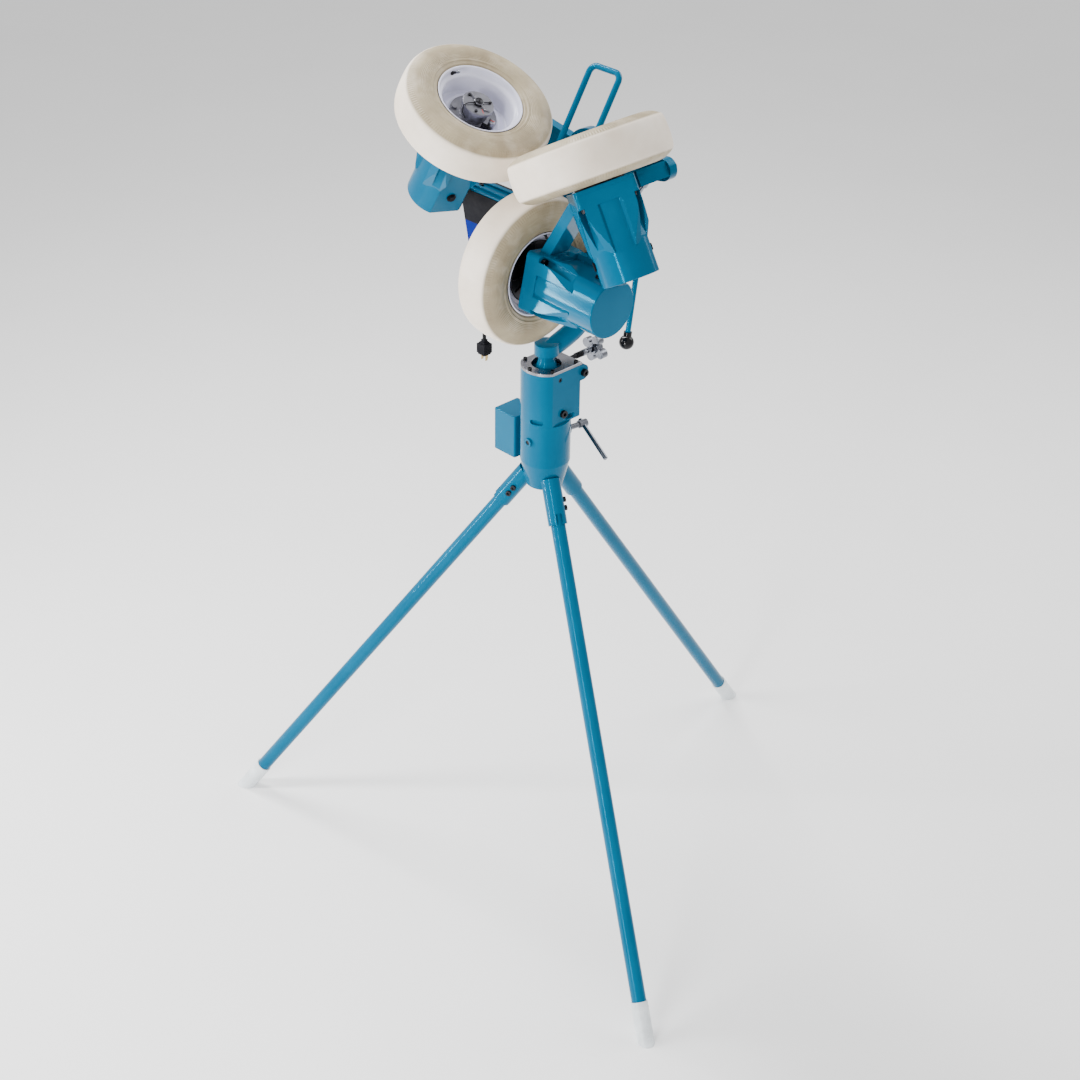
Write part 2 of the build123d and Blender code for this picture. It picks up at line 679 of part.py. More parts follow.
def make_column():
    """The swivelling column: socket for the ball above, spindle below, two ears behind."""
    with BuildPart() as column:
        with BuildSketch(level(COLUMN_FOOT_Z)):
            column_outline()
        extrude(amount=PLATE_Z - COLUMN_FOOT_Z)
        fillet(column.edges().filter_by(Axis.Z).group_by(Axis.Y)[-1], 6)
        with BuildSketch(facing_right(-COLUMN_FLAT)):
            with Locations((EAR_Y, EAR_Z)):
                SlotOverall(34, 28, rotation=90)
            with Locations((COLUMN_BACK - 4, EAR_Z)):
                Rectangle(14, 34)
        extrude(amount=2 * COLUMN_FLAT)
        with BuildSketch(facing_right(-EAR_GAP / 2)):
            with Locations((COLUMN_BACK + 20, EAR_Z)):
                Rectangle(40, 60)
        extrude(amount=EAR_GAP, mode=Mode.SUBTRACT)
        rod_from = facing_right(-COLUMN_FLAT - 1, EAR_Y, EAR_Z)
        drill(rod_from, PIN_R + 0.02, 2 * COLUMN_FLAT + 2)
        with Locations(spot(0, 0, BALL_Z)):
            Sphere(SEAT_R + RUN_FIT, mode=Mode.SUBTRACT)
        drill(level(BALL_Z), SEAT_R + RUN_FIT, 60)
        drill(level(FLOOR_Z), 34, 50)
        drill(level(COLUMN_FOOT_Z - 1), SPINDLE_R + 0.02, 60)
        drill(Plane(spot(0, 36, CLAMP_Z), z_dir=(0, 1, 0)), CLAMP_R + RUN_FIT, 60)
        for angle in SLOT_ANGLES:
            with Locations(level(SLOT_Z)):
                with PolarLocations(COLUMN_R, 1, angle):
                    Box(2 * SLOT_DEEP, SLOT_WIDE, SLOT_HIGH, mode=Mode.SUBTRACT)
                    for end in (-SLOT_WIDE / 2, SLOT_WIDE / 2):
                        with Locations((0, end, 0)):
                            Cylinder(SLOT_HIGH / 2, 2 * SLOT_DEEP, rotation=(0, 90, 0), mode=Mode.SUBTRACT)
        y, z, radius, depth = GRUB
        drill(facing_right(COLUMN_FLAT - depth, y, z), radius + 0.02, depth + 1)
        drill(facing_right(COLUMN_FLAT - 20, *SIDE_SCREW), SCREW_R + 0.02, 21)
        for x, y in PLATE_SCREWS:
            drill(level(PLATE_Z - 14, x, y), 2.52, 20)
    save(column.part, "swivel_column")

    with BuildPart() as plate:
        with BuildSketch(level(PLATE_Z)):
            column_outline()
            Circle(PLATE_HOLE_R, mode=Mode.SUBTRACT)
            with Locations(*PLATE_SCREWS):
                Circle(2.6, mode=Mode.SUBTRACT)
        extrude(amount=PLATE_T)
        chamfer(plate.faces().sort_by(Axis.Z)[-1].edges(), 0.8)
    save(plate.part, "ball_plate")

    with BuildPart() as screws:
        y, z, radius, depth = GRUB
        rod(facing_right(COLUMN_FLAT - depth, y, z), radius, depth - 0.6)
        with BuildSketch(facing_right(COLUMN_FLAT - 3, y, z)):
            RegularPolygon(radius * 0.5, 6)
        extrude(amount=4, mode=Mode.SUBTRACT)
        cap_screw(facing_right(COLUMN_FLAT, *SIDE_SCREW), 8.5, 6, SCREW_R, 19)
        for x, y in PLATE_SCREWS:
            cap_screw(level(PLATE_Z + PLATE_T, x, y), 4.4, 4.5, 2.5, PLATE_T + 13.5)
        rod(facing_right(-COLUMN_FLAT - 7, EAR_Y, EAR_Z), PIN_R, 2 * COLUMN_FLAT + 7)
        rod(facing_right(-COLUMN_FLAT - 5.5, EAR_Y, EAR_Z), 7, 5.5)
        cap_screw(facing_right(COLUMN_FLAT, EAR_Y, EAR_Z), 8, 8, PIN_R, 4)
    save(screws.part, "column_screws")

    with BuildPart() as liner:
        with Locations(spot(0, 0, BALL_Z)):
            Sphere(SEAT_R)
            Sphere(BALL_R + RUN_FIT, mode=Mode.SUBTRACT)
            with Locations((0, 0, 8)):
                Box(100, 100, 60, align=BASE, mode=Mode.SUBTRACT)
            with Locations((0, 0, -20)):
                Box(100, 100, 60, align=(Align.CENTER, Align.CENTER, Align.MAX), mode=Mode.SUBTRACT)
            with Locations((0, 40, 0)):
                Box(18, 60, 100, mode=Mode.SUBTRACT)
    save(liner.part, "ball_liner")

    with BuildPart() as spindle:
        rod(level(HOUSING_FOOT_Z + 6), SPINDLE_R, FLOOR_Z - HOUSING_FOOT_Z - 6)
        chamfer(spindle.edges().sort_by(Axis.Z)[0], 1.5)
    save(spindle.part, "swivel_spindle")


def make_clamp():
    """The clamping screw that holds the ball, and its star knob."""
    start = Plane(spot(0, CLAMP_TIP, CLAMP_Z), z_dir=(0, 1, 0))
    with BuildPart() as screw:
        rod(start, CLAMP_R, CLAMP_REACH - CLAMP_TIP + 10)
        chamfer(screw.edges().filter_by(GeomType.CIRCLE), 0.8)
        for y in range(66, int(CLAMP_REACH) - 8, 4):
            with Locations(start.offset(y - CLAMP_TIP)):
                Torus(CLAMP_R, 0.7, mode=Mode.SUBTRACT)
    save(screw.part, "clamp_screw")

    with BuildPart() as star:
        hub = start.offset(CLAMP_REACH - CLAMP_TIP - 8)
        rod(hub, 11, 24)
        with Locations(hub.offset(4)):
            Cylinder(14, STAR_T, align=BASE)
            with PolarLocations(STAR_RING, 4, 20):
                Cylinder(STAR_LOBE_R, STAR_T, align=BASE)
                with Locations((-STAR_RING / 2, 0, 0)):
                    Box(STAR_RING, 13, STAR_T, align=BASE)
        drill(hub.offset(-1), CLAMP_R + 0.02, 19)
    save(star.part, "clamp_star")


# ---------------------------------------------------------------- tripod
def lock_plane(radius):
    """Square to the swivel lock's screw, at one radius from the column's axis."""
    out = Vector(cos(radians(LOCK_ANGLE)), sin(radians(LOCK_ANGLE)), 0)
    return Plane(spot(0, 0, LOCK_Z) + out * radius, z_dir=out)


def make_hub():
    """The tripod's casting: swivel housing, three leg sockets and the pad for the side box."""
    with BuildPart() as hub:
        rod(level(HOUSING_FOOT_Z), HOUSING_R, HOUSING_TOP_Z - HOUSING_FOOT_Z)
        with BuildSketch(level(HUB_FOOT_Z)):
            Circle(40)
        with BuildSketch(level(HOUSING_FOOT_Z)):
            Circle(HOUSING_R)
        loft()
        for azimuth in LEG_AZIMUTH.values():
            rod(leg_plane(azimuth, SLEEVE_FROM), SLEEVE_R, SLEEVE_TO - SLEEVE_FROM + 26)
        low, high = SIDE_BOX[3] + 8, SIDE_BOX[4] - 8
        with Locations(spot((SIDE_BOX[1] - 40) / 2, 0, (low + high) / 2)):
            Box(-40 - SIDE_BOX[1], 34, high - low)
        rod(Plane(spot(5, 0, LOCK_Z + 5), z_dir=(0, -1, 0)), 9.5, HOUSING_R + 4)
        rod(lock_plane(20), 13, HOUSING_R - 20 + 5)
        drill(level(HOUSING_TOP_Z - BUSH_DEEP), BUSH_R + 0.02, BUSH_DEEP + 1)
        drill(level(HOUSING_FOOT_Z + 12), SPINDLE_R + 8, HOUSING_TOP_Z - HOUSING_FOOT_Z)
        drill(level(HOUSING_FOOT_Z + 4), BUSH_R + 0.02, BUSH_DEEP)
        drill(lock_plane(20), LOCK_R + RUN_FIT, 60)
        for azimuth in LEG_AZIMUTH.values():
            drill(leg_plane(azimuth, SLEEVE_FROM - 1), LEG_TUBE_R + RUN_FIT, SOCKET_END - SLEEVE_FROM + 1)
            with Locations(leg_plane(azimuth, SLEEVE_FROM)):
                with Locations((SLEEVE_R, 0, 0)):
                    Box(20, 13, 44, mode=Mode.SUBTRACT)
            for seat in leg_screw_planes(azimuth):
                drill(seat.offset(-6), 4.02, 14)
        drill(Plane(spot(5, -30, LOCK_Z + 5), z_dir=(0, -1, 0)), 5.02, 40)
        for y in (-9, 9):
            drill(facing_right(SIDE_BOX[1] - 1, y, 1040), 3.02, 16)
    save(hub.part, "tripod_hub")

    with BuildPart() as bushes:
        for z in (HOUSING_TOP_Z - BUSH_DEEP, HOUSING_FOOT_Z + 4):
            with BuildSketch(level(z)):
                Circle(BUSH_R)
                Circle(SPINDLE_R + RUN_FIT, mode=Mode.SUBTRACT)
            extrude(amount=BUSH_DEEP - (0 if z > 1050 else 8))
    save(bushes.part, "swivel_bushings")

    with BuildPart() as screws:
        for azimuth in LEG_AZIMUTH.values():
            for seat in leg_screw_planes(azimuth):
                cap_screw(seat, 6, 5, 4, SLEEVE_R - LEG_TUBE_R - 0.5)
        boss = Plane(spot(5, 0, LOCK_Z + 5), z_dir=(0, -1, 0))
        rod(boss.offset(30), 5, HOUSING_R - 27)
        for y in (-9, 9):
            seat = Plane(spot(SIDE_BOX[1] - SIDE_WALL, y, 1040), z_dir=(-1, 0, 0))
            cap_screw(seat, 5, 4, 3, SIDE_WALL + 14)
    save(screws.part, "hub_screws")


def leg_screw_planes(azimuth):
    """Two clamping screws on the side of each leg socket."""
    planes = []
    for along in (SLEEVE_FROM + 34, SLEEVE_FROM + 52):
        base = leg_plane(azimuth, along)
        planes.append(Plane(base.origin + base.y_dir * SLEEVE_R, z_dir=base.y_dir))
    return planes


def make_side_box():
    """The box on the side of the housing, and the cover under it."""
    left, right, half, low, high = SIDE_BOX
    with BuildPart() as box:
        with BuildSketch(level(low + SIDE_WALL, (left + right) / 2)):
            RectangleRounded(right - left, 2 * half, 4)
        extrude(amount=high - low - SIDE_WALL)
        fillet(box.faces().sort_by(Axis.Z)[-1].edges(), 2)
        with BuildSketch(level(low, (left + right) / 2)):
            RectangleRounded(right - left - 2 * SIDE_WALL, 2 * (half - SIDE_WALL), 2)
        extrude(amount=high - low - SIDE_WALL, mode=Mode.SUBTRACT)
        for y in (-9, 9):
            drill(facing_right(right - SIDE_WALL - 1, y, 1040), 3.02, 8)
    save(box.part, "side_box")

    with BuildPart() as cover:
        with BuildSketch(level(low, (left + right) / 2)):
            RectangleRounded(right - left, 2 * half, 4)
        extrude(amount=SIDE_WALL)
        with BuildSketch(level(low + SIDE_WALL, (left + right) / 2)):
            RectangleRounded(right - left - 2 * SIDE_WALL - 0.1, 2 * (half - SIDE_WALL) - 0.1, 2)
            RectangleRounded(right - left - 6 * SIDE_WALL, 2 * (half - 3 * SIDE_WALL), 2, mode=Mode.SUBTRACT)
        extrude(amount=6)
    save(cover.part, "side_box_cover")


def make_lock():
    """The swivel lock: a screw through the housing, and the tommy bar through its head."""
    with BuildPart() as screw:
        rod(lock_plane(SPINDLE_R + 0.4), LOCK_R, LOCK_REACH - SPINDLE_R + 9.6)
        rod(lock_plane(LOCK_REACH - 10), 8.5, 20)
        with Locations(lock_bar_plane()):
            Cylinder(LOCK_BAR_R + 0.02, 200, mode=Mode.SUBTRACT)
    save(screw.part, "lock_screw")

    with BuildPart() as bar:
        rod(lock_bar_plane().offset(-12), LOCK_BAR_R, 111)
        chamfer(bar.edges().filter_by(GeomType.CIRCLE), 1.2)
    save(bar.part, "lock_bar")


def lock_bar_plane():
    """Square to the tommy bar, which hangs down to the machine's left side of the lock."""
    face = lock_plane(LOCK_REACH)
    way = Vector(cos(radians(LOCK_ANGLE - 90)), sin(radians(LOCK_ANGLE - 90)), 0)
    way = way * cos(radians(LOCK_DROP)) - Vector(0, 0, 1) * sin(radians(LOCK_DROP))
    return Plane(face.origin, z_dir=way)


def make_legs():
    """Three tubular legs and the soft caps on their feet."""
    for name, azimuth in LEG_AZIMUTH.items():
        with BuildPart() as tube:
            with BuildSketch(leg_plane(azimuth, 0)):
                Circle(LEG_TUBE_R)
                Circle(LEG_TUBE_R - 2.1, mode=Mode.SUBTRACT)
            extrude(amount=SOCKET_END - 0.5)
        save(tube.part, f"leg_tube_{name}")

    with BuildPart() as caps:
        for azimuth in LEG_AZIMUTH.values():
            rod(leg_plane(azimuth, -70), FOOT_R, 112)
        for azimuth in LEG_AZIMUTH.values():
            drill(leg_plane(azimuth, 0), LEG_TUBE_R + 0.02, 60)
        with Locations(level(0)):
            Box(2000, 2000, 200, align=(Align.CENTER, Align.CENTER, Align.MAX), mode=Mode.SUBTRACT)
    save(caps.part, "foot_caps")


# ---------------------------------------------------------------- control box
def make_control_box():
    """The control box behind the left motor: black shell, blue tray, panel and bracket."""
    split_y = -BOX_HIGH * 0.05
    high, low = BOX_HIGH / 2, -BOX_HIGH / 2
    for label, top, bottom in (("control_box", high, split_y), ("control_box_tray", split_y, low)):
        middle = (top + bottom) / 2
        wall = BOX_WALL if top == high else -BOX_WALL
        with BuildPart() as shell:
            with BuildSketch(panel_plane(-BOX_DEEP)):
                with Locations((0, middle)):
                    Rectangle(BOX_WIDE, top - bottom)
            extrude(amount=BOX_DEEP - PANEL_T)
            with BuildSketch(panel_plane(-BOX_DEEP + BOX_WALL)):
                with Locations((0, middle - wall)):
                    Rectangle(BOX_WIDE - 2 * BOX_WALL, top - bottom)
            extrude(amount=BOX_DEEP, mode=Mode.SUBTRACT)
            if top != high:
                drill(gland_plane().offset(-10), 8.02, 20)
            else:
                for x in BRACKET_SCREWS:
                    drill(box_top(-9, x, 32), 3.02, 20)
        save(shell.part, label)

    with BuildPart() as panel:
        with BuildSketch(panel_plane(-PANEL_T)):
            RectangleRounded(BOX_WIDE, BOX_HIGH, 3)
        extrude(amount=PANEL_T)
        with BuildSketch(panel_plane(0)):
            with Locations((SWITCH_X, SWITCH_Y)):
                RectangleRounded(27, 37, 3)
        extrude(amount=1.6)
        with BuildSketch(panel_plane(-PANEL_T)):
            with Locations(*[(x, DIAL_Y) for x in DIAL_X.values()]):
                Circle(POT_R + RUN_FIT)
            with Locations((SWITCH_X, SWITCH_Y)):
                Rectangle(17, 27)
        extrude(amount=PANEL_T + 2, mode=Mode.SUBTRACT)
    save(panel.part, "control_panel")

    for label, x in DIAL_X.items():
        with BuildPart() as dial:
            with Locations(panel_plane(1)):
                with Locations((x, DIAL_Y, 0)):
                    Cylinder(DIAL_R, 6, align=BASE)
                    Cone(DIAL_R - 3, DIAL_R - 5, 14, align=BASE)
                    Cylinder(POT_R, 20, align=(Align.CENTER, Align.CENTER, Align.MAX))
        save(dial.part, f"speed_dial_{label}")

    with BuildPart() as rocker:
        with BuildSketch(rocker_plane()):
            with BuildLine():
                Polyline((-7, -11.6), (1.6, -11.6), (-0.6, 0), (4.4, 11.6), (-7, 11.6), close=True)
            make_face()
        extrude(amount=8.1, both=True)
    save(rocker.part, "power_rocker")

    with BuildPart() as bracket:
        with BuildSketch(box_top(0)):
            with Locations((-7, 32)):
                Rectangle(220, 42)
            with Locations((-97, -16)):
                Rectangle(40, 66)
        extrude(amount=5)
        for y in (22, 42):
            with BuildSketch(box_top(5)):
                with Locations((3, y)):
                    Rectangle(200, 5)
            extrude(amount=5)
        back = HEAD[1] + SPIDER_FROM
        with Locations(spot(-101, back, 1529)):
            Box(40, 6, 44, align=(Align.CENTER, Align.MAX, Align.MIN))
        for x in BRACKET_SCREWS:
            drill(box_top(-4, x, 32), 3.02, 20)
        with Locations(spot(-101, back, 1500)):
            Box(60, 60, 200, align=(Align.CENTER, Align.MIN, Align.MIN), mode=Mode.SUBTRACT)
        for z in TAB_SCREWS:
            drill(tab_seat(z).offset(-10), 3.02, 20)
    save(bracket.part, "box_bracket")


def rocker_plane():
    """Through the rocker's pivot, with x out of the panel and y up it."""
    face = panel_plane(-2)
    middle = face.from_local_coords((SWITCH_X, SWITCH_Y, 0))
    return Plane(middle, x_dir=face.z_dir, z_dir=face.z_dir.cross(face.y_dir))


def box_top(off, x=0, y=0):
    """On the control box's top: x to the operator's right, y away from the operator."""
    face = panel_plane()
    middle = face.from_local_coords((0, BOX_HIGH / 2, 0)) + face.y_dir * off
    top = Plane(middle, x_dir=face.x_dir, z_dir=face.y_dir)
    return Plane(top.from_local_coords((x, y, 0)), x_dir=face.x_dir, z_dir=face.y_dir)


def tab_seat(z):
    """The front of the bracket's tab, where its screws go into the spider."""
    return Plane(spot(-101, HEAD[1] + SPIDER_FROM - 6, z), z_dir=(0, -1, 0))


def gland_plane():
    """Square to the power cord where it leaves the box's underside."""
    face = panel_plane(-BOX_DEEP / 2)
    return Plane(face.from_local_coords((GLAND_X, -BOX_HIGH / 2, 0)), z_dir=face.y_dir * -1)


def fillet_radii(points):
    """Each bend's radius, from the shorter of its two runs and its turn."""
    radii = []
    for before, here, after in zip(points, points[1:], points[2:]):
        first, second = here - before, after - here
        half = radians(first.get_angle(second) / 2)
        radii.append(0.45 * min(first.length, second.length) / tan(half))
    return radii


def make_cord():
    """The power cord: gland under the box, a hanging cord and a three-pin plug."""
    with BuildPart() as gland:
        rod(gland_plane().offset(BOX_WALL), 8, 10)
        rod(gland_plane().offset(-BOX_WALL - 3), 11, 3)
        rod(gland_plane().offset(-BOX_WALL), 8, BOX_WALL)
        rod(gland_plane(), 11, 8)
        rod(gland_plane().offset(8), 7.5, 10)
    save(gland.part, "cord_gland")

    leave = gland_plane().offset(18)
    plug = spot(*PLUG_TOP)
    first = leave.origin + leave.z_dir * 46
    last = plug + Vector(0, 0, 46)
    middle = (first + last) * 0.5 + Vector(*CORD_SAG)
    route = [leave.origin, first, middle, last, plug]
    radii = fillet_radii(route)
    with BuildPart() as cord:
        with BuildLine() as path:
            FilletPolyline(*route, radius=radii)
        with BuildSketch(Plane(path.line @ 0, z_dir=path.line % 0)):
            Circle(CORD_R)
        sweep(path=path.line)
    length = path.wire().length
    print("cord radii", [round(r, 1) for r in radii], "length", round(length, 1))
    print("cord volume", round(cord.part.volume), "expected", round(length * pi * CORD_R**2))
    save(cord.part, "power_cord")

    with BuildPart() as body:
        with BuildSketch(Plane(plug)):
            Circle(7.5)
        with BuildSketch(Plane(plug + Vector(0, 0, -16))):
            RectangleRounded(27, 20, 8)
        loft()
        with BuildSketch(Plane(plug + Vector(0, 0, -16))):
            RectangleRounded(27, 20, 8)
        extrude(amount=-18)
        fillet(body.faces().sort_by(Axis.Z)[0].edges(), 1.5)
        for x, y, wide, deep in BLADES:
            with BuildSketch(Plane(plug + Vector(x, y, -24))):
                Rectangle(wide + 0.04, deep + 0.04)
            extrude(amount=-12, mode=Mode.SUBTRACT)
    save(body.part, "plug_body")

    with BuildPart() as blades:
        for x, y, wide, deep in BLADES:
            with BuildSketch(Plane(plug + Vector(x, y, -24))):
                Rectangle(wide, deep)
            extrude(amount=-27)
    save(blades.part, "plug_blades")


def main():
    for name, wheel in WHEELS.items():
        make_tyre(wheel, f"tyre_{name}")
        make_rim(wheel, f"rim_{name}")
        make_hub_of(wheel, f"wheel_hub_{name}")
        make_rotor(wheel, f"rotor_{name}")
        make_housing(wheel, f"motor_housing_{name}")
    make_motor_internals()
    make_brackets()
    make_spider()
    make_strut()
    make_brace()
    make_chute()
    make_handle()
    make_gooseneck()
    make_aiming_handle()
    make_column()
    make_clamp()
    make_hub()
    make_side_box()
    make_lock()
    make_legs()
    make_control_box()
    make_cord()


main()
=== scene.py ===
import json
from math import cos, pi, radians, sin

import bmesh
import bpy
from mathutils import Matrix, Vector


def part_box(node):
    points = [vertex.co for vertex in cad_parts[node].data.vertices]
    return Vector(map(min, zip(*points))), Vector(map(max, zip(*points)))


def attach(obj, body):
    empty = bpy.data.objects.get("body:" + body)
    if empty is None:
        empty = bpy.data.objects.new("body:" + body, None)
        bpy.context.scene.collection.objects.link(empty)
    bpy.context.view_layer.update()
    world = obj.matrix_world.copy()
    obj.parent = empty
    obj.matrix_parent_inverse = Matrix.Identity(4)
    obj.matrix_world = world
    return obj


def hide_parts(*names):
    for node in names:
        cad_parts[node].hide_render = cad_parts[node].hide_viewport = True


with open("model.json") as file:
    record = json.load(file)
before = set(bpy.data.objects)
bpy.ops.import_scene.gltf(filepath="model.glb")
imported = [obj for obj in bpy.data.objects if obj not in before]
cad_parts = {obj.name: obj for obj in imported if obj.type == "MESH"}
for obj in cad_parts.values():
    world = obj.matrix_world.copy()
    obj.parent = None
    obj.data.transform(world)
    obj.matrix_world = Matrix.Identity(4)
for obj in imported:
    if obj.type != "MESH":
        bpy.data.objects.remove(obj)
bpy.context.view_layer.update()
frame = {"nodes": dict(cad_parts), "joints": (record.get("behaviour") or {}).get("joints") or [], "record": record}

# ---------------------------------------------------------------- places
# Outlines, sizes and shifts of pieces are in mm, and MM turns them to metres. The camera, the studio,
# the cord's route and the lengths in shaders are in metres.
MM = 0.001
low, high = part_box("swivel_spindle")
COLUMN = Vector(((low.x + high.x) / 2, (low.y + high.y) / 2, 0))
JOINTS = {joint["name"]: joint for joint in frame["joints"]}
WHEELS = ("left", "right", "lower")
DIALS = ("left", "lower", "right")


def joint_line(name):
    """A joint's place and the direction of its axis."""
    joint = JOINTS[name]
    return Vector(joint["pos_m"]), Vector(joint["axis"]).normalized()


def axes_at(place, x, z):
    """A matrix at a place, with its x and z along two given directions."""
    turn = Matrix((x, z.cross(x), z)).transposed().to_4x4()
    return Matrix.Translation(place) @ turn


def shift(x, y, z):
    """A move by distances in mm."""
    return Matrix.Translation((x * MM, y * MM, z * MM))


# ---------------------------------------------------------------- camera
CAMERA_FROM_COLUMN = Vector((2.79115, -2.74788, 3.21862))
CAMERA_AZIMUTH = radians(45.74)
CAMERA_DROP = radians(30.92)
CAMERA_ROLL = radians(-0.72)
CAMERA_LENS = 70.754
CAMERA_SHIFT = (0.00469, -0.0277)


def make_camera():
    """The camera, at its place, angle and lens."""
    az, drop = CAMERA_AZIMUTH, CAMERA_DROP
    ahead = Vector((-sin(az) * cos(drop), cos(az) * cos(drop), -sin(drop)))
    right = Vector((cos(az), sin(az), 0))
    down = ahead.cross(right)
    side = right * cos(CAMERA_ROLL) + down * sin(CAMERA_ROLL)
    foot = down * cos(CAMERA_ROLL) - right * sin(CAMERA_ROLL)
    turn = Matrix((side, -foot, -ahead)).transposed().to_4x4()
    data = bpy.data.cameras.new("camera")
    data.lens = CAMERA_LENS
    data.shift_x, data.shift_y = CAMERA_SHIFT
    data.clip_end = 60
    camera = bpy.data.objects.new("camera", data)
    camera.matrix_world = Matrix.Translation(COLUMN + CAMERA_FROM_COLUMN) @ turn
    bpy.context.scene.collection.objects.link(camera)
    bpy.context.scene.camera = camera


make_camera()


# ---------------------------------------------------------------- material kit
class Shader:
    """A material's node tree, with short names for what is used here."""

    def __init__(self, name):
        self.material = bpy.data.materials.new(name)
        self.material.use_nodes = True
        self.tree = self.material.node_tree
        self.main = self.tree.nodes["Principled BSDF"]
        self.place = self.node("ShaderNodeTexCoord").outputs["Object"]

    def node(self, kind, **values):
        """Adds a node. Each value is a property of it or, if it has none so named, an input."""
        made = self.tree.nodes.new(kind)
        for key, value in values.items():
            if hasattr(made, key):
                setattr(made, key, value)
            else:
                made.inputs[key.replace("_", " ")].default_value = value
        return made

    def link(self, out, into):
        """Joins an output to an input."""
        self.tree.links.new(out, into)

    def set(self, **values):
        """Sets inputs of the main shader."""
        for key, value in values.items():
            self.main.inputs[key.replace("_", " ")].default_value = value

    def noise(self, scale, detail=3.0, rough=0.55, place=None):
        """Noise in the object's own coordinates, or in those given as a place."""
        found = self.node("ShaderNodeTexNoise", Scale=scale, Detail=detail, Roughness=rough)
        self.link(place or self.place, found.inputs["Vector"])
        return found.outputs["Fac"]

    def ramp(self, value, *stops):
        """A colour that follows a value between two (position, colour) stops."""
        found = self.node("ShaderNodeValToRGB")
        for point, (at, colour) in zip(found.color_ramp.elements, stops):
            point.position = at
            point.color = (*colour, 1)
        self.link(value, found.inputs["Fac"])
        return found.outputs["Color"]

    def span(self, value, low, high, to_low=0.0, to_high=1.0):
        """A value mapped from one range to another, and held at its ends."""
        found = self.node("ShaderNodeMapRange")
        ends = {"From Min": low, "From Max": high, "To Min": to_low, "To Max": to_high}
        for key, number in ends.items():
            found.inputs[key].default_value = number
        self.link(value, found.inputs["Value"])
        return found.outputs["Result"]

    def math(self, kind, a, b=None):
        """The result of an operation on one or two values, each a number or an output."""
        found = self.node("ShaderNodeMath", operation=kind)
        for socket, value in zip(found.inputs, (a, b)):
            if value is None:
                continue
            if isinstance(value, (int, float)):
                socket.default_value = value
            else:
                self.link(value, socket)
        return found.outputs[0]

    def band(self, value, edges):
        """1 between the middle two of four rising edges, and 0 beyond the outer two."""
        start, full, fading, end = edges
        return self.math("MULTIPLY", self.span(value, start, full), self.span(value, end, fading))

    def mix(self, how_much, first, second):
        """A mix of two colours, each an output or an (r, g, b) tuple."""
        found = self.node("ShaderNodeMix", data_type="RGBA")
        self.link(how_much, found.inputs[0])
        for socket, value in ((found.inputs[6], first), (found.inputs[7], second)):
            if isinstance(value, tuple):
                socket.default_value = (*value, 1)
            else:
                self.link(value, socket)
        return found.outputs[2]

    def colour(self, out):
        """Gives the main shader its colour."""
        self.link(out, self.main.inputs["Base Color"])

    def rough(self, out):
        """Gives the main shader its roughness."""
        self.link(out, self.main.inputs["Roughness"])

    def bump(self, height, distance, strength, edge=0.0):
        """Raises the surface by a height, and rounds its edges by a radius in metres."""
        found = self.node("ShaderNodeBump", Strength=strength, Distance=distance)
        self.link(height, found.inputs["Height"])
        if edge:
            bevel = self.node("ShaderNodeBevel", samples=4, Radius=edge)
            self.link(bevel.outputs["Normal"], found.inputs["Normal"])
        self.link(found.outputs["Normal"], self.main.inputs["Normal"])


PAINT_IOR = 1.3
PAINT_SHEEN = (0.8, 0.85, 0.9)
PAINT_PEEL = 0.00008
PAINT_EDGE = 0.0012
METAL_SHADE = 0.72
METAL_UNEVEN = 0.25
METAL_GRAIN = 0.00005
METAL_EDGE = 0.0006
MOULDED_GRAIN = 0.00012
MOULDED_EDGE = 0.0008


def enamel(name, base, shade, rough=0.11, sheen=PAINT_SHEEN):
    """Sprayed gloss paint on steel or a casting, with a little orange peel."""
    s = Shader(name)
    s.set(Specular_Tint=(*sheen, 1.0), IOR=PAINT_IOR)
    s.colour(s.ramp(s.noise(7, 4), (0.3, shade), (0.7, base)))
    s.rough(s.span(s.noise(22, 5), 0.3, 0.75, rough * 0.7, rough * 1.6))
    s.bump(s.noise(420, 2), PAINT_PEEL, 0.6, PAINT_EDGE)
    return s.material


def bare_metal(name, base, rough):
    """Turned, cast or plated metal."""
    s = Shader(name)
    dark = tuple(c * METAL_SHADE for c in base)
    s.colour(s.ramp(s.noise(38, 5), (0.25, dark), (0.75, base)))
    s.rough(s.span(s.noise(160, 6), 0.25, 0.75, rough * (1 - METAL_UNEVEN), rough * (1 + METAL_UNEVEN)))
    s.set(Metallic=1.0)
    s.bump(s.noise(700, 3), METAL_GRAIN, 0.5, METAL_EDGE)
    return s.material


def moulded(name, base, rough, grain=MOULDED_GRAIN, fine=900, specular=0.5):
    """Moulded plastic or rubber with a fine skin texture."""
    s = Shader(name)
    s.set(Specular_IOR_Level=specular)
    pale = tuple(min(1, c * 1.35 + 0.003) for c in base)
    s.colour(s.ramp(s.noise(30, 4), (0.3, base), (0.75, pale)))
    s.rough(s.span(s.noise(70, 4), 0.3, 0.7, rough * 0.85, rough * 1.2))
    s.bump(s.noise(fine, 2), grain, 0.5, MOULDED_EDGE)
    return s.material


WALL_DARK = (0.23, 0.18, 0.105)
WALL_PALE = (0.44, 0.37, 0.24)
TREAD_DARK = (0.70, 0.605, 0.49)
TREAD_PALE = (0.84, 0.755, 0.65)
TREAD_FROM = (0.151, 0.155)
RINGED_BAND = (0.097, 0.101, 0.126, 0.132)
RING_PITCH = 0.0032
RIBBED_BAND = (0.1405, 0.1425, 0.1505, 0.1525)
RIB_WAVES = 170
STREAKS_ACROSS = 900.0
STREAKS_ROUND = 3.0
TYRE_RELIEF = 0.00028


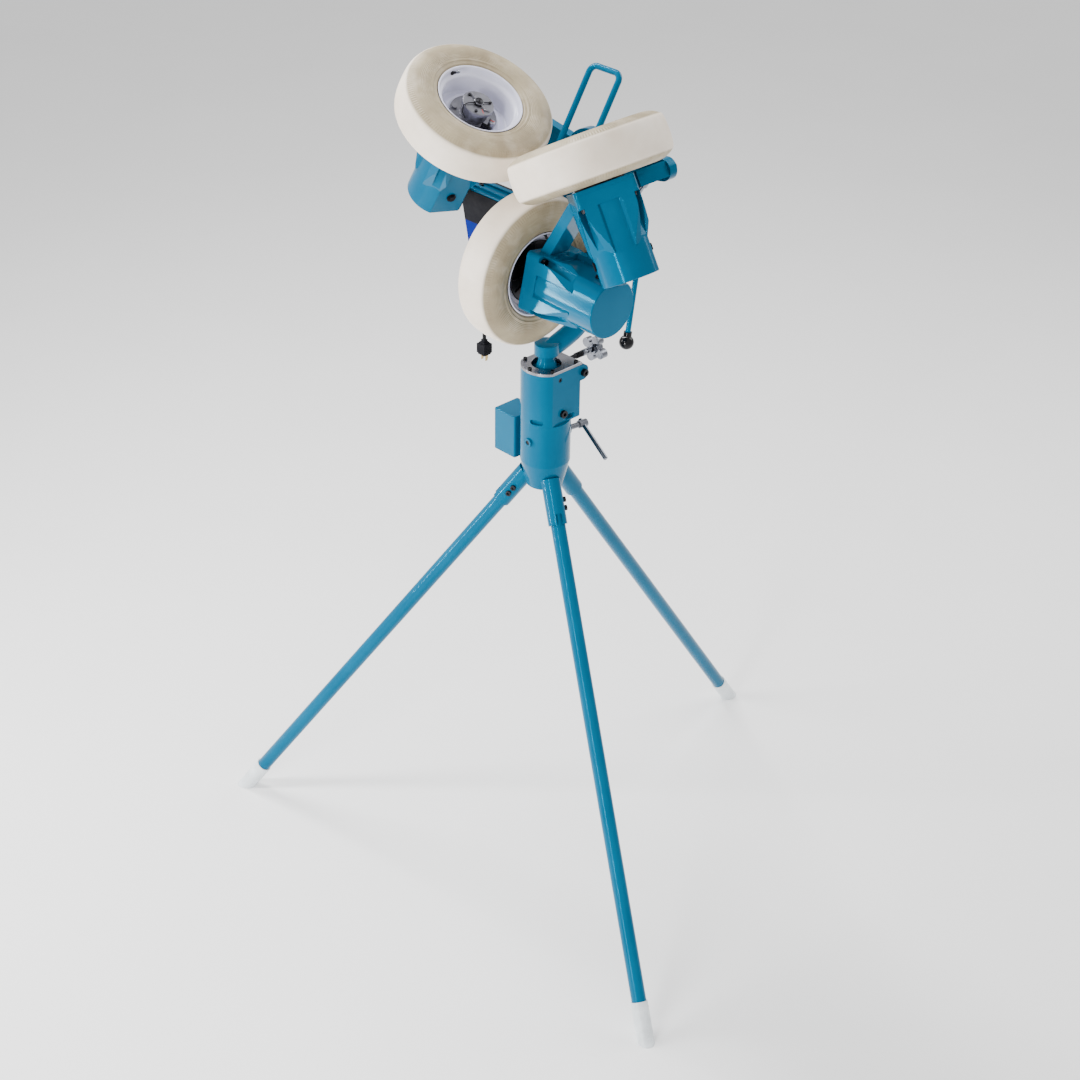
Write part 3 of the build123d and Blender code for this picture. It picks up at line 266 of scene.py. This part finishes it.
def tyre_rubber():
    """Cream tyre rubber: an ivory tread, and a tan wall with moulded rings and a ribbed band."""
    s = Shader("cream_tyre_rubber")
    axes = s.node("ShaderNodeSeparateXYZ")
    s.link(s.place, axes.inputs[0])
    x, y = axes.outputs["X"], axes.outputs["Y"]
    radius = s.math("SQRT", s.math("ADD", s.math("MULTIPLY", x, x), s.math("MULTIPLY", y, y)))
    turn = s.math("ARCTAN2", y, x)
    tread = s.span(radius, *TREAD_FROM)
    wall = s.ramp(s.noise(9, 6, 0.62), (0.3, WALL_DARK), (0.7, WALL_PALE))
    streak = s.node("ShaderNodeCombineXYZ")
    s.link(s.math("MULTIPLY", radius, STREAKS_ACROSS), streak.inputs[0])
    s.link(s.math("MULTIPLY", turn, STREAKS_ROUND), streak.inputs[1])
    streaked = s.span(s.noise(1.0, 3, place=streak.outputs[0]), 0.4, 0.75, 0.0, 0.55)
    wall = s.mix(streaked, wall, WALL_DARK)
    worn = s.span(s.noise(24, 5), 0.5, 0.75, 0.0, 0.3)
    crown = s.ramp(s.noise(11, 5), (0.3, TREAD_DARK), (0.7, TREAD_PALE))
    s.colour(s.mix(tread, s.mix(worn, wall, TREAD_DARK), crown))
    s.rough(s.span(s.noise(60, 4), 0.3, 0.7, 0.42, 0.62))
    rings = s.math("SINE", s.math("MULTIPLY", radius, 2 * pi / RING_PITCH))
    ribs = s.math("SINE", s.math("MULTIPLY", turn, RIB_WAVES))
    ringed = s.math("MULTIPLY", rings, s.band(radius, RINGED_BAND))
    ribbed = s.math("MULTIPLY", ribs, s.band(radius, RIBBED_BAND))
    height = s.math("ADD", s.math("ADD", ringed, ribbed), s.math("MULTIPLY", s.noise(420, 3), 0.5))
    s.bump(height, TYRE_RELIEF, 0.8)
    return s.material


TEAL = (0.0, 0.100, 0.192)
TEAL_SHADE = (0.0, 0.080, 0.158)
TEAL_SHEEN = (0.03, 0.60, 0.95)
FINISHES = {
    "teal_paint": enamel("teal_enamel", TEAL, TEAL_SHADE, sheen=TEAL_SHEEN),
    "cream_tyre": tyre_rubber(),
    "white_rim": enamel("white_enamel", (0.72, 0.72, 0.84), (0.62, 0.62, 0.76), rough=0.24),
    "grey_casting": bare_metal("grey_cast_hub", (0.24, 0.24, 0.27), 0.42),
    "steel": bare_metal("turned_steel", (0.32, 0.32, 0.35), 0.3),
    "chrome": bare_metal("bright_plating", (0.22, 0.23, 0.26), 0.2),
    "black_steel": bare_metal("black_oxide", (0.03, 0.03, 0.034), 0.36),
    "black_casting": enamel("black_satin", (0.006, 0.006, 0.008), (0.003, 0.003, 0.004), rough=0.34,
                            sheen=(0.4, 0.4, 0.45)),
    "ferrite": bare_metal("ferrite", (0.09, 0.09, 0.095), 0.6),
    "black_plastic": moulded("black_moulding", (0.004, 0.004, 0.006), 0.55, specular=0.06),
    "black_gloss": moulded("black_gloss_moulding", (0.003, 0.003, 0.004), 0.06, grain=0.00002,
                           specular=0.22),
    "blue_plastic": moulded("blue_moulding", (0.0, 0.007, 0.13), 0.5, specular=0.05),
    "panel_plastic": moulded("panel_moulding", (0.006, 0.006, 0.008), 0.55, fine=1400, specular=0.12),
    "brass": bare_metal("brass", (0.62, 0.46, 0.20), 0.25),
    "white_plastic": moulded("white_nylon", (0.70, 0.70, 0.67), 0.4),
    "clear_rubber": moulded("pale_rubber", (0.58, 0.62, 0.64), 0.3),
    "black_rubber": moulded("black_rubber", (0.005, 0.005, 0.006), 0.5, specular=0.15),
}
MARKING = moulded("white_print", (0.75, 0.75, 0.74), 0.45)
RED_MARK = moulded("red_paint_mark", (0.42, 0.02, 0.012), 0.35)


def dress_cad():
    """Gives every CAD node the finish of its slot in the record."""
    for part in frame["record"]["subparts"]:
        node = frame["nodes"][part["node"]]
        for slot in node.material_slots:
            slot.material = FINISHES[part["material_slot"]]


dress_cad()


# ---------------------------------------------------------------- piece kit
def piece(name, data, place, body, slot, finish=None):
    """Puts new geometry in the scene, riding on a body, in its slot's finish or another."""
    made = bpy.data.objects.new(name, data)
    bpy.context.scene.collection.objects.link(made)
    made.matrix_world = place
    data.materials.append(finish or FINISHES[slot])
    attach(made, body)
    return made


def finished(mesh):
    """Turns a bmesh into mesh data, with its faces looking outward."""
    bmesh.ops.recalc_face_normals(mesh, faces=mesh.faces)
    data = bpy.data.meshes.new("piece")
    mesh.to_mesh(data)
    mesh.free()
    return data


def lathe(outline, steps, ring=False):
    """A mesh turned from (radius, height) points; a ring's outline closes on itself."""
    mesh = bmesh.new()
    rings = []
    for radius, height in outline:
        count = 1 if radius == 0 else steps
        turns = [2 * pi * i / count for i in range(count)]
        around = [(radius * MM * cos(t), radius * MM * sin(t), height * MM) for t in turns]
        rings.append([mesh.verts.new(place) for place in around])
    if ring:
        rings.append(rings[0])
    for low, high in zip(rings, rings[1:]):
        for i in range(steps):
            here, after = i, (i + 1) % steps
            if len(low) == 1:
                corners = (low[0], high[after], high[here])
            elif len(high) == 1:
                corners = (low[here], low[after], high[0])
            else:
                corners = (low[here], low[after], high[after], high[here])
            mesh.faces.new(corners).smooth = True
    return finished(mesh)


def block_into(mesh, place, size):
    """Adds a box of a size to a bmesh, at a place."""
    scale = Matrix.Diagonal((*[s * MM for s in size], 1))
    bmesh.ops.create_cube(mesh, size=1, matrix=place @ scale)


def wire(points, radius, smooth=True):
    """A wire through points, bent smoothly or at each point."""
    curve = bpy.data.curves.new("wire", "CURVE")
    curve.dimensions = "3D"
    curve.bevel_depth = radius * MM
    curve.bevel_resolution = 4
    curve.use_fill_caps = True
    line = curve.splines.new("NURBS" if smooth else "POLY")
    line.points.add(len(points) - 1)
    for point, place in zip(line.points, points):
        point.co = (*[c * MM for c in place], 1)
    if smooth:
        line.order_u = 3
        line.use_endpoint_u = True
    return curve


def soften(made, width):
    """Rounds a piece's edges by a width."""
    bevel = made.modifiers.new("edges", "BEVEL")
    bevel.width = width * MM
    bevel.segments = 3
    bevel.limit_method = "ANGLE"


# ---------------------------------------------------------------- cord
CORD_R = 4.2
CORD_ROUTE = (
    (-0.3063, -0.07204, 1.36268),
    (-0.3063, -0.06405, 1.31738),
    (-0.2983, -0.07478, 1.26719),
    (-0.2763, -0.1035, 1.2170),
    (-0.2763, -0.1035, 1.1710),
)
RELIEF_FROM = -9.0
RELIEF_LENGTH = 38.0
RELIEF_RIBS = 6
RELIEF_RADIUS = 8.6
RELIEF_TAPER = 3.2
RELIEF_GROOVE = 1.1


def make_relief():
    """The tapered, ribbed sleeve where the cord leaves its gland."""
    start, after = Vector(CORD_ROUTE[0]), Vector(CORD_ROUTE[1])
    way = (after - start).normalized()
    outline = [(0, 0), (8.4, 0), (8.8, 1.2)]
    step = (RELIEF_LENGTH - 3) / RELIEF_RIBS
    for i in range(RELIEF_RIBS):
        rib = RELIEF_RADIUS - RELIEF_TAPER * i / (RELIEF_RIBS - 1)
        groove = rib - RELIEF_GROOVE
        low = 2 + step * i
        outline += [(rib, low), (rib, low + step * 0.6)]
        outline += [(groove, low + step * 0.7), (groove, low + step * 0.95)]
    outline += [(CORD_R + 0.6, RELIEF_LENGTH - 0.8), (CORD_R + 0.2, RELIEF_LENGTH), (0, RELIEF_LENGTH)]
    turn = way.to_track_quat("Z", "X").to_matrix().to_4x4()
    place = Matrix.Translation(start + way * RELIEF_FROM * MM) @ turn
    return piece("cord_strain_relief", lathe(outline, 40), place, "head", "black_rubber")


PLUG_BLOCKS = ((11, 0, 9), (17, 6, 6), (25, 10, 22), (21, 31, 5))  # width, distance down, height
PLUG_FLATNESS = 0.94
GRIP_BARS = 4
GRIP_SIDE = 12.5
GRIP_FROM = 14.5
GRIP_PITCH = 4.5
GRIP_SIZE = (1.6, 15, 2.2)
PINS_FROM = 34
PINS_CLEAR = 1
BLADE_SIDE = 6.4
BLADE_SIZE = (1.6, 6.4)
GROUND_BACK = 8.5
GROUND_TIP_R = 1.8
GROUND_ROOT_R = 2.4


def make_plug():
    """The square moulded plug, with two blades and a round ground pin."""
    low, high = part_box("plug_body")
    top, middle = high.z, (low + high) / 2
    place = Matrix.Translation((middle.x, middle.y, top))
    shell = bmesh.new()
    for width, start, tall in PLUG_BLOCKS:
        block_into(shell, shift(0, 0, -(start + tall / 2)), (width, width * PLUG_FLATNESS, tall))
    for side in (-1, 1):
        for i in range(GRIP_BARS):
            block_into(shell, shift(side * GRIP_SIDE, 0, -(GRIP_FROM + GRIP_PITCH * i)), GRIP_SIZE)
    body = piece("plug_moulding", finished(shell), place, "head", "black_plastic")
    soften(body, 1.4)
    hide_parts("plug_body")
    reach = (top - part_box("plug_blades")[0].z) / MM - PINS_CLEAR
    middle_z, tall = -(PINS_FROM + reach) / 2, reach - PINS_FROM
    pins = bmesh.new()
    for side in (-1, 1):
        block_into(pins, shift(side * BLADE_SIDE, 0, middle_z), (*BLADE_SIZE, tall))
    bmesh.ops.create_cone(pins, cap_ends=True, segments=24, radius1=GROUND_TIP_R * MM,
                          radius2=GROUND_ROOT_R * MM, depth=tall * MM, matrix=shift(0, GROUND_BACK, middle_z))
    blades = piece("plug_pins", finished(pins), place, "head", "brass")
    soften(blades, 0.4)
    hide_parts("plug_blades")
    return [body, blades]


def make_cord():
    """The power cord: a short lead that hangs from the gland to its plug."""
    relief = make_relief()
    curve = bpy.data.curves.new("hanging_cord", "CURVE")
    curve.dimensions = "3D"
    curve.bevel_depth = CORD_R * MM
    curve.bevel_resolution = 5
    curve.resolution_u = 24
    line = curve.splines.new("NURBS")
    line.points.add(len(CORD_ROUTE) - 1)
    for point, place in zip(line.points, CORD_ROUTE):
        point.co = (*place, 1)
    line.order_u = 3
    line.use_endpoint_u = True
    cord = piece("hanging_cord", curve, Matrix.Identity(4), "head", "black_rubber")
    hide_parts("power_cord")
    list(make_plug())


make_cord()


# ---------------------------------------------------------------- wheels
TYRE_STEPS = 160
RIM_STEPS = 128
COVER_STEPS = 96
COVER_RIBS = 12
COVER_RIB_AT = (47, 0, 24.3)
COVER_RIB_SIZE = (28, 3, 2.6)
VALVES = {"left": (-1, 265), "right": (-1, 60), "lower": (1, 80)}  # side on the axle, degrees round it
VALVE_SCALE = 0.7
VALVE_LEAN = 50
VALVE_RING = 82.5
VALVE_ACROSS = 33.5


def wheel_frame(name):
    """A matrix with z along the wheel's axle, toward its motor, and x toward the back."""
    place, axle = joint_line(f"spin_{name}")
    return axes_at(place, Vector((0, 1, 0)), axle)


def tyre_section():
    """A tyre's section as (radius, across), from bead to bead."""
    tread = [(159, 0), (158.8, 12), (158.0, 22), (156.8, 29), (155.6, 32.6), (154.2, 34.4)]
    wall = [(150.4, 37.6), (144.6, 41.6), (137.4, 44.9), (130, 47.0), (122, 48.2), (115, 48.3)]
    bead = [(108, 47.3), (103.4, 45.7), (102.2, 46.4), (100.0, 46.2), (98.6, 44.2), (95.5, 43.2)]
    seat = [(93.4, 43.3), (92.2, 42.4), (90.6, 40.4), (89.2, 38.6), (87.4, 34.0), (86.4, 26.0)]
    half = tread + wall + bead + seat
    return [(r, -x) for r, x in reversed(half[1:])] + half


def make_tyre(name):
    """A tyre with a ground tread, shoulders, wall rings and beads."""
    mesh = lathe(tyre_section(), TYRE_STEPS, ring=True)
    tyre = piece(f"pneumatic_tyre_{name}", mesh, wheel_frame(name), f"wheel_{name}", "cream_tyre")
    fine = tyre.modifiers.new("fine", "SUBSURF")
    fine.levels = fine.render_levels = 1
    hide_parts(f"tyre_{name}")


def rim_section():
    """A rim's section as (radius, reach): rolled lips, bead steps, barrel and disc."""
    lip = [(88.0, 39.6), (88.9, 40.6), (88.9, 41.5), (88.0, 42.1), (86.2, 41.6), (84.9, 40.0)]
    step = [(84.2, 37.6), (83.7, 33.6), (82.6, 30.8), (79.6, 29.4), (77.0, 28.2), (75.2, 25.6), (74.6, 22.0)]
    far = [(74.6, 20.6), (72.4, 19.2), (66.5, 19.0), (60.4, 15.2), (56.5, 12.2), (52.0, 12.0), (19.4, 12.0)]
    near = [(19.4, 8.0), (53.0, 8.0), (57.6, 8.3), (61.6, 11.2), (68.0, 15.2), (72.8, 15.0), (74.6, 13.2)]
    outside = [(86.4, 38.4), (85.7, 33.0), (84.4, 29.6), (80.6, 27.6), (78.1, 26.6), (76.8, 23.6)]
    outside += [(76.4, 18.0)]
    visible = lip + step + far + near + [(r, -x) for r, x in reversed(lip + step)]
    return visible + [(r, -x) for r, x in outside] + outside[::-1]


def make_rim(name):
    """A pressed and painted rim with rolled lips."""
    mesh = lathe(rim_section(), RIM_STEPS, ring=True)
    rim = piece(f"pressed_rim_{name}", mesh, wheel_frame(name), f"wheel_{name}", "white_rim")
    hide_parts(f"rim_{name}")


def make_inner_cover(name):
    """The black ribbed cover over the rim's disc, on the motor's side. Its black is partly painted shade: it
    darkens the rim's interior, which lies in shade there.
    """
    outline = [(20.2, 19.4), (61.5, 19.4), (65.5, 20.6), (66.5, 22.4), (64, 23.8), (32, 23.8), (25, 29)]
    outline += [(20.2, 29)]
    place, body = wheel_frame(name), f"wheel_{name}"
    # The black of this disc and its ribs is partly painted shade for the shaded interior of the rim.
    piece(f"black_cover_and_shade_{name}", lathe(outline, COVER_STEPS, ring=True), place, body, "black_steel")
    ribs = bmesh.new()
    for i in range(COVER_RIBS):
        at = Matrix.Rotation(2 * pi * i / COVER_RIBS, 4, "Z") @ shift(*COVER_RIB_AT)
        block_into(ribs, at, COVER_RIB_SIZE)
    soften(piece(f"cover_ribs_and_shade_{name}", finished(ribs), place, body, "black_steel"), 0.8)


def make_valve(name):
    """The valve that stands out of the rim's barrel, with its metal cap."""
    side, angle = VALVES[name]
    stem = [(0, -3), (6.4, -3), (6.6, 0), (5.2, 3), (4.2, 6), (3.9, 14), (3.4, 16), (3.4, 19)]
    stem += [(3.9, 19.4), (4.1, 20.2), (4.1, 26), (3.4, 27.4), (0, 27.8)]
    cap = [(0, 19.2), (4.5, 19.2), (4.6, 20), (4.6, 27), (3.9, 28.2), (0, 28.6)]
    lean = Matrix.Rotation(radians(-90 + side * VALVE_LEAN), 4, "Y") @ Matrix.Scale(VALVE_SCALE, 4)
    turn = Matrix.Rotation(radians(angle), 4, "Z") @ shift(VALVE_RING, 0, side * VALVE_ACROSS)
    place, body = wheel_frame(name) @ turn @ lean, f"wheel_{name}"
    piece(f"tyre_valve_{name}", lathe(stem, 32), place, body, "black_rubber")
    piece(f"valve_cap_{name}", lathe(cap, 12), place, body, "chrome")


HUB_FACE = -28.0
HUB_SCREWS = 3
HUB_SCREW_RING = 25.5
HUB_SCREW_TURN = 20
SPRING_WIRE_R = 1.1
KEY_AT = (-6, 41.5, -4)
KEY_TURN = radians(56)
KEY_SIZE = (15, 7, 12)
WEIGHT_AT = (11.5, 41.5, 0)
RED_DABS = (  # place, turn and size
    ((11.5, 41.5, -14.3), 0.9, (9, 2, 1.4)),
    ((-6, 22, HUB_FACE), 1.9, (11, 1.4, 0.8)),
)


def make_hub_details(name):
    """What sits on the hub: screws, the shaft's end, a spring wire, a key and a balance weight."""
    place, body = wheel_frame(name), f"wheel_{name}"
    screw = [(0, -2.2), (1.2, -2.2), (1.6, -2.6), (3.0, -2.5), (3.3, -2), (3.3, 0.4), (0, 0.4)]
    for i in range(HUB_SCREWS):
        angle = radians(HUB_SCREW_TURN + 360 / HUB_SCREWS * i)
        at = shift(HUB_SCREW_RING * cos(angle), HUB_SCREW_RING * sin(angle), HUB_FACE)
        piece(f"hub_face_screw_{name}_{i}", lathe(screw, 24), place @ at, body, "black_steel")
    end = [(0, -8.0), (2.2, -8.0), (2.8, -7.2), (7.4, -7.4), (8.6, -6.6), (10.2, -2), (10.2, 0.2)]
    end += [(0, 0.2)]
    piece(f"shaft_end_{name}", lathe(end, 40), place @ shift(0, 0, HUB_FACE), body, "black_steel")
    clip = [(27, 10, -30), (4, 2, -31), (-24, -6, -31), (-36, -6, -29), (-43, 4, -22), (-41, 14, -14)]
    piece(f"spring_wire_{name}", wire(clip, SPRING_WIRE_R, smooth=False), place, body, "black_steel")
    key = bmesh.new()
    block_into(key, shift(*KEY_AT) @ Matrix.Rotation(KEY_TURN, 4, "Z"), KEY_SIZE)
    soften(piece(f"hub_key_{name}", finished(key), place, body, "black_plastic"), 1.0)
    weight = [(0, -14), (5.2, -14), (6.6, -12.6), (6.8, -8), (6.8, 3), (0, 3)]
    piece(f"balance_weight_{name}", lathe(weight, 32), place @ shift(*WEIGHT_AT), body, "steel")
    dabs = bmesh.new()
    for at, turn, size in RED_DABS:
        block_into(dabs, shift(*at) @ Matrix.Rotation(turn, 4, "Z"), size)
    soften(piece(f"balance_mark_{name}", finished(dabs), place, body, "grey_casting", RED_MARK), 0.8)


for wheel in WHEELS:
    make_tyre(wheel)
    make_rim(wheel)
    make_inner_cover(wheel)
    make_valve(wheel)
    make_hub_details(wheel)


# ---------------------------------------------------------------- clamp
COIL_TURNS = 5
COIL_PITCH = 3.8
COIL_STEPS = 12
COIL_R = 5.6
COIL_FROM = -36.5
COIL_WIRE_R = 1.3


def make_clamp_details():
    """The plated sleeve behind the clamp's star, and the black spring on its screw."""
    start, axis = joint_line("clamp_turn")
    place = Matrix.Translation(start) @ axis.to_track_quat("Z", "X").to_matrix().to_4x4()
    sleeve = [(0, -36), (6.2, -36), (7, -35), (7, -22), (6.3, -21), (6.3, -19), (7, -18), (7, -8), (0, -8)]
    piece("clamp_sleeve", lathe(sleeve, 40), place, "clamp", "chrome")
    coil = []
    for i in range(COIL_TURNS * COIL_STEPS + 1):
        angle = 2 * pi * i / COIL_STEPS
        coil.append((COIL_R * cos(angle), COIL_R * sin(angle), COIL_FROM - COIL_PITCH * i / COIL_STEPS))
    piece("clamp_spring", wire(coil, COIL_WIRE_R), place, "clamp", "black_steel")


make_clamp_details()


# ---------------------------------------------------------------- control panel
TICKS = 11
TICK_SWEEP = 270.0
TICK_RING = 21.5
NUMBER_RING = 27.2
NUMBER_SIZE = 5.2
PRINT_LIFT = 0.15
PRINT_DEPTH = 0.12
POINTER_BLOCKS = (((0, 7.2, 15.05), (1.2, 8, 0.5)), ((0, 15.2, 7.1), (1.2, 3.2, 0.5)))
GRIP_RIBS = 30
GRIP_RIB_AT = (16.8, 0, 3.9)
GRIP_RIB_SIZE = (1.1, 1.5, 5.2)


def panel_frame(name):
    """A matrix on the panel's face at a dial, x to the operator's right and z out of the panel."""
    place, axis = joint_line(f"dial_{name}_turn")
    return axes_at(place, Vector((-1, 0, 0)), axis)


def number_mesh(number):
    """A number in thin raised figures, as mesh data."""
    text = bpy.data.curves.new("number", "FONT")
    text.body = str(number)
    text.size = NUMBER_SIZE * MM
    text.extrude = PRINT_DEPTH * MM
    text.align_x, text.align_y = "CENTER", "CENTER"
    holder = bpy.data.objects.new("number", text)
    flat = bpy.data.meshes.new_from_object(holder)
    bpy.data.objects.remove(holder)
    return flat


def make_scale(name):
    """The printed scale round a dial, from 0 to 10."""
    mesh = bmesh.new()
    for i in range(TICKS):
        angle = radians(90 + TICK_SWEEP / 2 - TICK_SWEEP * i / (TICKS - 1))
        at = Matrix.Rotation(angle, 4, "Z") @ shift(TICK_RING, 0, PRINT_LIFT)
        block_into(mesh, at, (5 if i % 5 == 0 else 3, 0.8, 0.3))
        if i % 2 == 0:
            flat = number_mesh(i)
            flat.transform(shift(NUMBER_RING * cos(angle), NUMBER_RING * sin(angle), PRINT_LIFT))
            mesh.from_mesh(flat)
    piece(f"dial_scale_{name}", finished(mesh), panel_frame(name), "head", "panel_plastic", MARKING)


def make_dial_details(name):
    """A dial's pointer line and the grip ribs round its skirt."""
    place, body = panel_frame(name), f"dial_{name}"
    pointer = bmesh.new()
    for at, size in POINTER_BLOCKS:
        block_into(pointer, shift(*at), size)
    piece(f"dial_pointer_{name}", finished(pointer), place, body, "black_gloss", MARKING)
    ribs = bmesh.new()
    for i in range(GRIP_RIBS):
        at = Matrix.Rotation(2 * pi * i / GRIP_RIBS, 4, "Z") @ shift(*GRIP_RIB_AT)
        block_into(ribs, at, GRIP_RIB_SIZE)
    soften(piece(f"dial_grip_{name}", finished(ribs), place, body, "black_gloss"), 0.35)


for dial in DIALS:
    make_scale(dial)
    make_dial_details(dial)


# ---------------------------------------------------------------- studio
HEAD_MIDDLE = joint_line("spin_lower")[0]
LIGHTS = (  # name, direction and distance from the head, size, power
    ("strip_front_left", (-0.61, -0.78, 0.12), 2.6, (0.15, 2.4), 100),
    ("strip_front", (0.35, -0.94, 0.06), 2.8, (0.13, 2.4), 80),
    ("box_over_left", (-0.61, 0.05, 0.79), 2.6, (0.22, 2.4), 120),
    ("box_behind", (0.2, 0.85, 0.5), 3.2, (2.4, 2.0), 70),
)
WORLD_LIGHT = 0.92
FLOOR_SIZE = 60
FLOOR_SHADES = (0.93, 0.95)


def make_floor():
    """A pale floor."""
    bpy.ops.mesh.primitive_plane_add(size=FLOOR_SIZE)
    floor = bpy.context.object
    floor.name = "floor"
    s = Shader("floor_paper")
    dark, pale = ((shade, shade, shade) for shade in FLOOR_SHADES)
    s.colour(s.ramp(s.noise(2, 2), (0.3, dark), (0.7, pale)))
    s.set(Roughness=0.9, Specular_IOR_Level=0.1)
    floor.data.materials.append(s.material)


def make_lights():
    """An even surround and soft strip lights."""
    world = bpy.data.worlds.new("studio")
    world.use_nodes = True
    backdrop = world.node_tree.nodes["Background"]
    backdrop.inputs["Color"].default_value = (1, 1, 1, 1)
    backdrop.inputs["Strength"].default_value = WORLD_LIGHT
    bpy.context.scene.world = world
    for name, way, distance, size, power in LIGHTS:
        data = bpy.data.lights.new(name, "AREA")
        data.shape = "RECTANGLE"
        data.size, data.size_y = size
        data.energy = power
        light = bpy.data.objects.new(name, data)
        bpy.context.scene.collection.objects.link(light)
        away = Vector(way).normalized()
        face = away.to_track_quat("Z", "Y").to_matrix().to_4x4()
        light.matrix_world = Matrix.Translation(HEAD_MIDDLE + away * distance) @ face


make_floor()
make_lights()
